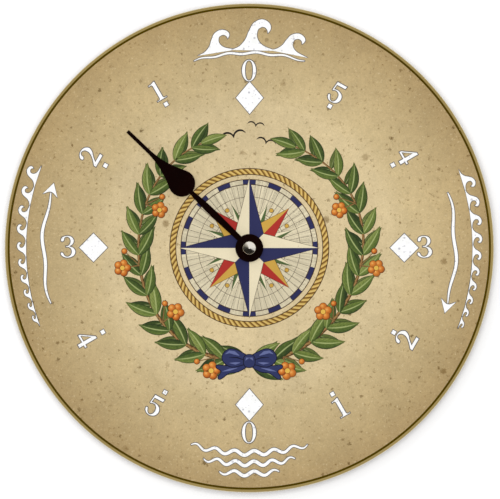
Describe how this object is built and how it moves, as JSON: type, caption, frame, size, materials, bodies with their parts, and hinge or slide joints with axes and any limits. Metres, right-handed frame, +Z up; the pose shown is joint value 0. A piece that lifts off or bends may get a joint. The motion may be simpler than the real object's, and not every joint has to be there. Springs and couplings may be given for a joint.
{
  "type": "tide clock",
  "caption": "Round wall tide clock: printed board with one black spade hand on a battery movement, with a keyhole hanger.",
  "frame": {"origin": "on the hand's axis, in the wall plane that the back of the movement touches", "axes": "+Y into the wall, so the dial faces -Y; +X to the viewer's right; +Z up"},
  "size_m": [0.2666, 0.0317, 0.2666],
  "materials": {
    "board": "fibreboard, cream lacquer on the edge",
    "print": "satin printed face",
    "black_rubber": "matt",
    "brass": "turned, satin",
    "steel": "zinc plated",
    "black_plastic": "moulded, fine texture",
    "white_plastic": "moulded acetal",
    "black_paint": "semi-matt black",
    "bright_chrome": "polished",
    "copper": "enamelled copper wire",
    "magnet": "sintered magnet",
    "board_green": "solder resist",
    "cell_sleeve": "printed sleeve with steel ends"
  },
  "bodies": {
    "clock": {"dial_board": "board", "dial_face": "print", "rubber_washer": "black_rubber", "brass_washer": "brass", "hex_nut": "brass", "hanger_plate": "steel", "threaded_bush": "brass", "case_front": "black_plastic", "rear_cover": "black_plastic", "middle_plate": "white_plastic", "train_bridge": "white_plastic", "stator": "steel", "coil_core": "steel", "coil_bobbin": "white_plastic", "coil_winding": "copper", "stator_screws": "steel", "circuit_board": "board_green", "control_chip": "black_plastic", "quartz_crystal": "bright_chrome", "positive_contact": "steel", "negative_contact": "steel"},
    "hand": {"tide_hand": "black_paint", "hand_bushing": "brass", "cap_nut": "bright_chrome", "tide_shaft": "steel", "tide_wheel": "white_plastic"},
    "minute_train": {"minute_wheel": "white_plastic"},
    "centre_train": {"centre_arbor": "steel"},
    "setting": {"setting_arbor": "white_plastic", "set_knob": "black_plastic"},
    "rotor": {"rotor_pinion": "white_plastic", "rotor_magnet": "magnet"},
    "fifth_train": {"fifth_wheel": "white_plastic"},
    "fourth_train": {"fourth_wheel": "white_plastic"},
    "third_train": {"third_wheel": "white_plastic"},
    "centre_drive": {"centre_wheel": "white_plastic"},
    "battery": {"aa_battery": "cell_sleeve"}
  },
  "joints": [
    {"name": "hand_turn", "type": "hinge", "parent": "clock", "child": "hand", "pos_m": [0, 0, 0], "axis": [0, 1, 0], "continuous": true},
    {"name": "minute_wheel_turn", "type": "hinge", "parent": "clock", "child": "minute_train", "pos_m": [0.00733, 0, 0.00267], "axis": [0, 1, 0], "continuous": true},
    {"name": "centre_arbor_turn", "type": "hinge", "parent": "clock", "child": "centre_train", "pos_m": [0, 0, 0], "axis": [0, 1, 0], "continuous": true},
    {"name": "set_knob_turn", "type": "hinge", "parent": "clock", "child": "setting", "pos_m": [0.01483, 0, 0.00267], "axis": [0, 1, 0], "continuous": true},
    {"name": "rotor_spin", "type": "hinge", "parent": "clock", "child": "rotor", "pos_m": [0.00261, 0, 0.01388], "axis": [0, 1, 0], "continuous": true},
    {"name": "fifth_wheel_turn", "type": "hinge", "parent": "clock", "child": "fifth_train", "pos_m": [-0.00297, 0, 0.01339], "axis": [0, 1, 0], "continuous": true},
    {"name": "fourth_wheel_turn", "type": "hinge", "parent": "clock", "child": "fourth_train", "pos_m": [-0.00861, 0, 0.01134], "axis": [0, 1, 0], "continuous": true},
    {"name": "third_wheel_turn", "type": "hinge", "parent": "clock", "child": "third_train", "pos_m": [-0.00736, 0, 0.00425], "axis": [0, 1, 0], "continuous": true},
    {"name": "centre_wheel_turn", "type": "hinge", "parent": "clock", "child": "centre_drive", "pos_m": [0, 0, 0], "axis": [0, 1, 0], "continuous": true},
    {"name": "battery_slide", "type": "slide", "parent": "clock", "child": "battery", "axis": [0, 1, 0], "range_m": [0, 0.02]}
  ],
  "couplings": [
    {"joint": "minute_wheel_turn", "follows": "hand_turn", "ratio": -4},
    {"joint": "centre_arbor_turn", "follows": "hand_turn", "ratio": 12.421},
    {"joint": "set_knob_turn", "follows": "hand_turn", "ratio": 14.75},
    {"joint": "fifth_wheel_turn", "follows": "rotor_spin", "ratio": -0.16667},
    {"joint": "fourth_wheel_turn", "follows": "rotor_spin", "ratio": 0.033333},
    {"joint": "third_wheel_turn", "follows": "rotor_spin", "ratio": -0.0041667},
    {"joint": "centre_wheel_turn", "follows": "rotor_spin", "ratio": 0.00055556}
  ]
}
